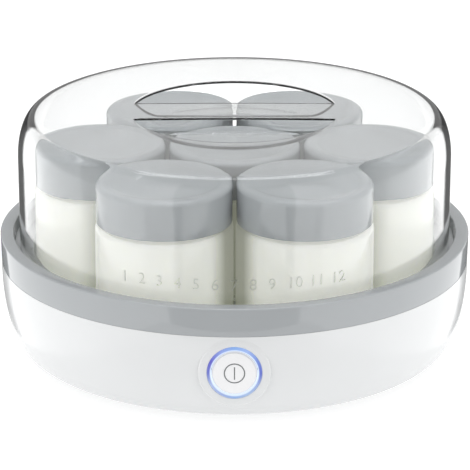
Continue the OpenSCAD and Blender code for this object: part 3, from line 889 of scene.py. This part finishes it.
def make_lid():
    """The clear lid: a dome, the two wells' skins joined to it, the wells cut out, and the numbers."""
    edge_z = LID_SEAT + EDGE_R
    edge_out = arc(LID_R - EDGE_R, edge_z, EDGE_R, -90, 0, 6)
    edge_in = arc(LID_R - EDGE_R, edge_z, EDGE_R, 180, 270, 6)[:-1]
    outline = edge_out + lid_side(0, 0, edge_z)[1:]
    outline += lid_side(LID_WALL, LID_PLATE, edge_z)[::-1][:-1] + edge_in
    dome = lathe("lid_dome", outline, 360)
    # The skins are trimmed to a surface inside the dome's wall, so that none shows outside it
    within, block_z = 1 * MM, LID_SEAT + 20 * MM
    block_outline = [(0, block_z), (LID_R - within, block_z)]
    block_outline += lid_side(within, LID_PLATE / 2, block_z + 1 * MM)
    block = lathe("tool", block_outline, 256, closed=False)
    for back in (False, True):
        skin = well_tool(LID_PLATE, 0)
        if back:
            half_turn(skin)
        combine(skin, block, "INTERSECT", keep_tool=True)
        combine(dome, skin, "UNION")
    bpy.data.objects.remove(block)
    for back in (False, True):
        well = well_tool(0, WELL_RIM)
        if back:
            half_turn(well)
        combine(dome, well, "DIFFERENCE")
    paint(dome, CLEAR)
    dome.data.materials.append(FROST_AND_SHADE)
    for number, angle in enumerate(number_angles(), start=1):
        combine(dome, number_mesh(number, angle), "UNION")
    smooth(dome, 40)
    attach(dome, "lid")
    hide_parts("lid")


# ---------------------------------------------------------------- jars
NECK_R, NECK_IN_R, JAR_WALL, JAR_BASE = 31 * MM, 28.4 * MM, 2.8 * MM, 4 * MM
JAR_SHOULDER_Z = CAP_Z - 0.5 * MM - (JAR_R - NECK_R)
INNER_SHOULDER_Z = JAR_SHOULDER_Z - 0.8 * MM


def glass_outline():
    """A straight-sided glass jar with a neck and two beads in place of its thread."""
    corner, inner_corner, bead_r, lip, inner_lip = 5 * MM, 4 * MM, 0.8 * MM, 0.8 * MM, 0.7 * MM
    top = jar_high.z
    outline = [(0, SEAT_Z + 0.8 * MM), (22 * MM, SEAT_Z + 0.5 * MM), (26 * MM, SEAT_Z)]
    outline += arc(JAR_R - corner, SEAT_Z + corner, corner, -84, 0, 14)
    outline += [(JAR_R, SEAT_Z + (JAR_SHOULDER_Z - SEAT_Z) * k / 8) for k in range(2, 8)]
    outline += arc(NECK_R, JAR_SHOULDER_Z, JAR_R - NECK_R, 0, 90, 12)
    for bead in (5 * MM, 9.5 * MM):
        outline += arc(NECK_R, CAP_Z + bead + 0.9 * MM, bead_r, -90, 90, 8)
    outline += arc(NECK_R - lip, top - lip, lip, 0, 90, 6)
    outline += arc(NECK_IN_R + inner_lip, top - inner_lip, inner_lip, 90, 180, 6)
    outline += arc(NECK_IN_R, INNER_SHOULDER_Z, JAR_R - JAR_WALL - NECK_IN_R, 90, 0, 12)
    corner_z = SEAT_Z + JAR_BASE + inner_corner
    outline += arc(JAR_R - JAR_WALL - inner_corner, corner_z, inner_corner, 0, -90, 10)
    outline += [(0, SEAT_Z + JAR_BASE + 0.6 * MM)]
    return outline


def yogurt_outline():
    """The yogurt fills the glass and laps into it a hair, so that no air shows between them."""
    lap, corner = 0.12 * MM, 4 * MM
    level = CAP_Z - 3.0 * MM
    floor = SEAT_Z + JAR_BASE
    r = JAR_R - JAR_WALL + lap
    shoulder_r = JAR_R - JAR_WALL - NECK_IN_R
    bend = math.degrees(math.asin(min(1, (level - INNER_SHOULDER_Z) / shoulder_r)))
    outline = [(0, floor + 0.45 * MM)]
    outline += arc(r - corner, floor + corner - lap, corner, -86, 0, 10)
    outline += [(r, floor + 12 * MM), (r, floor + 28 * MM)]
    outline += arc(NECK_IN_R + lap, INNER_SHOULDER_Z, shoulder_r, 0, bend, 8)
    edge_r = outline[-1][0]
    outline += [(edge_r - 0.8 * MM, level - 0.35 * MM), (edge_r - 2.4 * MM, level - 0.6 * MM),
                (edge_r * 0.5, level - 0.5 * MM), (0, level - 0.45 * MM)]
    return outline


def cap_outline():
    """A screw cap with a rounded edge and a slightly sunk top."""
    wall, roof, edge, sunk = 1.6 * MM, 1.8 * MM, 3 * MM, 0.4 * MM
    inner, sunk_r = CAP_R - wall, CAP_R - 7.6 * MM
    outline = arc(CAP_R - 0.35 * MM, CAP_Z + 0.35 * MM, 0.35 * MM, -90, 0, 4)
    outline += arc(CAP_R - edge, CAP_TOP - edge, edge, 0, 90, 14)
    outline += [(CAP_R - 4.6 * MM, CAP_TOP), (CAP_R - 5.6 * MM, CAP_TOP - 0.06 * MM)]
    outline += [(CAP_R - 6.6 * MM, CAP_TOP - 0.3 * MM), (sunk_r, CAP_TOP - sunk)]
    outline += [(sunk_r * k / 6, CAP_TOP - sunk) for k in range(5, -1, -1)]
    outline += [(0, CAP_TOP - roof), (inner, CAP_TOP - roof), (inner, CAP_Z + 0.3 * MM)]
    outline += [(inner + 0.3 * MM, CAP_Z)]
    return outline


def mark_crowding(obj, place, radius, near, far, top):
    """Stores on each vertex how much painted shade it gets, by how far its neighbours shut out the light,
    from 0 to 1.

    The middle jar is shut in all round. On the others the value falls from its most, where the next
    jar's side is no more than near away, to 0 at far. It also fades out over the last few mm up to
    the height top.
    """
    neighbour_reach, fade, most, falloff = 75 * MM, 6 * MM, 0.78, 1.4
    here = jar_place(place)
    others = [jar_place(other) for other in JAR_PLACES if other != place]
    others = [o for o in others if math.dist(o, here) < neighbour_reach]
    values = []
    for v in obj.data.vertices:
        gap = min(math.hypot(v.co.x - o[0], v.co.y - o[1]) for o in others) - radius
        sunk = min(1, max(0, (top - v.co.z) / fade))
        shut_in = 1 if place == "centre" else most * min(1, max(0, (far - gap) / (far - near))) ** falloff
        values.append(sunk * shut_in)
    painted_shade_amount = obj.data.attributes.new("painted_shade_amount", "FLOAT", "POINT")
    painted_shade_amount.data.foreach_set("value", values)


def make_jars():
    """Seven jars with their yogurt and caps, each a copy of one pattern. The liners are the CAD's."""
    glass = lathe("glass_pattern", glass_outline(), 160, closed=False)
    yogurt = lathe("yogurt_pattern", yogurt_outline(), 160, closed=False)
    cap = lathe("cap_pattern", cap_outline(), 160)
    for place in JAR_PLACES:
        spot = jar_place(place)
        settle(move(duplicate(glass, f"glass_{place}"), spot), f"jar_{place}", GLASS,
               f"jar_glass_{place}")
        filling = move(duplicate(yogurt, f"yogurt_{place}"), spot)
        # Painted shade on the yogurt and the cap, where the neighbouring jars shut out the light
        mark_crowding(filling, place, JAR_R, 8.5 * MM, 20 * MM, CAP_TOP)
        settle(filling, f"jar_{place}", YOGURT)
        closure = move(duplicate(cap, f"cap_{place}"), spot)
        mark_crowding(closure, place, CAP_R, 1.5 * MM, 11 * MM, CAP_TOP - 1 * MM)
        settle(closure, f"cap_{place}", CAP, f"jar_cap_{place}")
        paint(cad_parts[f"cap_liner_{place}"], LINER)
    for pattern in (glass, yogurt, cap):
        bpy.data.objects.remove(pattern)


# ---------------------------------------------------------------- studio
# How bright the studio's parts are: straight behind, the dark strips, the soft boxes and their upper
# parts, straight in front, and overhead
BACK, SIDE, BOX, HIGH_BOX, GAP, TOP = 0.74, 0.14, 1.75, 1.35, 0.64, 0.9


def make_table():
    """A white table, just wider than the photograph's view all the way back.

    It gives off some light itself, so the shadow on it is faint.
    """
    material = bpy.data.materials.new("studio_table")
    material.use_nodes = True
    principled = material.node_tree.nodes["Principled BSDF"]
    principled.inputs["Base Color"].default_value = (0.55, 0.55, 0.55, 1)
    principled.inputs["Roughness"].default_value = 0.9
    principled.inputs["Specular IOR Level"].default_value = 0.0
    principled.inputs["Emission Color"].default_value = (1, 1, 1, 1)
    principled.inputs["Emission Strength"].default_value = 0.6
    near, far = (0.112, -0.225), (0.192, 0.80)
    corners = [(-near[0], near[1], 0), (near[0], near[1], 0), (far[0], far[1], 0), (-far[0], far[1], 0)]
    table = add_object("studio_table", corners, [(0, 1, 2, 3)])
    paint(table, material)


def make_surround():
    """The studio: a wide soft box on each side, dimmer in front and behind, and two dark strips."""
    world = bpy.data.worlds.new("studio_world")
    world.use_nodes = True
    bpy.context.scene.world = world
    tree = world.node_tree

    def ramp(source, stops):
        node = tree.nodes.new("ShaderNodeValToRGB")
        elements = node.color_ramp.elements
        while len(elements) < len(stops):
            elements.new(0.5)
        for element, (place, level) in zip(elements, stops):
            element.position = place
            element.color = (level, level, level, 1)
        tree.links.new(source, node.inputs["Fac"])
        return node.outputs["Color"]

    coordinates = tree.nodes.new("ShaderNodeTexCoord")
    mapping = tree.nodes.new("ShaderNodeMapping")
    mapping.inputs["Rotation"].default_value = (0, 0, math.radians(90))
    around = tree.nodes.new("ShaderNodeTexGradient")
    around.gradient_type = "RADIAL"
    tree.links.new(coordinates.outputs["Generated"], mapping.inputs["Vector"])
    tree.links.new(mapping.outputs["Vector"], around.inputs["Vector"])

    def both_sides(half):
        """The band of brightness all round, from its half on one side."""
        return ramp(around.outputs["Fac"], half + [(1 - place, level) for place, level in reversed(half)])

    # Turns from straight behind the object (0) to straight in front of it (0.5)
    low = both_sides([
        (0, BACK), (0.026, BACK), (0.036, SIDE), (0.085, SIDE), (0.088, BOX), (0.4125, BOX), (0.4145, GAP),
    ])
    high = both_sides([(0, BACK), (0.22, BACK), (0.27, HIGH_BOX), (0.4125, HIGH_BOX), (0.4145, GAP)])

    split = tree.nodes.new("ShaderNodeSeparateXYZ")
    tree.links.new(coordinates.outputs["Generated"], split.inputs["Vector"])
    rise = tree.nodes.new("ShaderNodeMapRange")
    rise.inputs["From Min"].default_value = -1
    tree.links.new(split.outputs["Z"], rise.inputs["Value"])

    def blend(factor, under, over):
        """From one colour at factor 0 to another, or to a grey level, at factor 1."""
        mix = tree.nodes.new("ShaderNodeMix")
        mix.data_type = "RGBA"
        tree.links.new(factor, mix.inputs["Factor"])
        tree.links.new(under, mix.inputs["A"])
        if isinstance(over, float):
            mix.inputs["B"].default_value = (over, over, over, 1)
        else:
            tree.links.new(over, mix.inputs["B"])
        return mix.outputs["Result"]

    # Both run over the height of the direction, from straight down (0) to straight up (1)
    above_table = ramp(rise.outputs["Result"], [(0, 0), (0.50, 0), (0.55, 1), (1, 1)])
    overhead = ramp(rise.outputs["Result"], [(0, 0), (0.79, 0), (0.83, 1), (1, 1)])
    light = blend(overhead, blend(above_table, low, high), TOP)
    # The soft boxes show in reflections only. Straight on, or through the clear lid, all is white.
    path = tree.nodes.new("ShaderNodeLightPath")
    bounces = tree.nodes.new("ShaderNodeMath")
    tree.links.new(path.outputs["Glossy Depth"], bounces.inputs[0])
    tree.links.new(path.outputs["Diffuse Depth"], bounces.inputs[1])
    seen = tree.nodes.new("ShaderNodeMath")
    seen.operation = "LESS_THAN"
    tree.links.new(bounces.outputs["Value"], seen.inputs[0])
    seen.inputs[1].default_value = 0.5
    tree.links.new(blend(seen.outputs["Value"], light, 1.0), tree.nodes["Background"].inputs["Color"])


def make_overhead():
    """A soft lamp overhead, for the bright lines on the lid's shoulder and the caps' edges."""
    data = bpy.data.lights.new("overhead", "AREA")
    data.shape = "RECTANGLE"
    data.size, data.size_y = 1.6, 0.35
    data.energy = 8
    lamp = bpy.data.objects.new("overhead", data)
    lamp.location = (0, -0.15, 1.4)
    lamp.rotation_euler = (math.radians(6), 0, 0)
    bpy.context.collection.objects.link(lamp)


bpy.context.scene.view_settings.view_transform = "Standard"
make_table()
make_surround()
make_overhead()
make_camera()
make_bowl()
make_collar()
make_pan()
make_cover()
make_feet()
make_button_group()
make_bush()
make_lid()
make_jars()
for node_name, node_material in NODE_MATERIALS.items():
    paint(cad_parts[node_name], node_material)
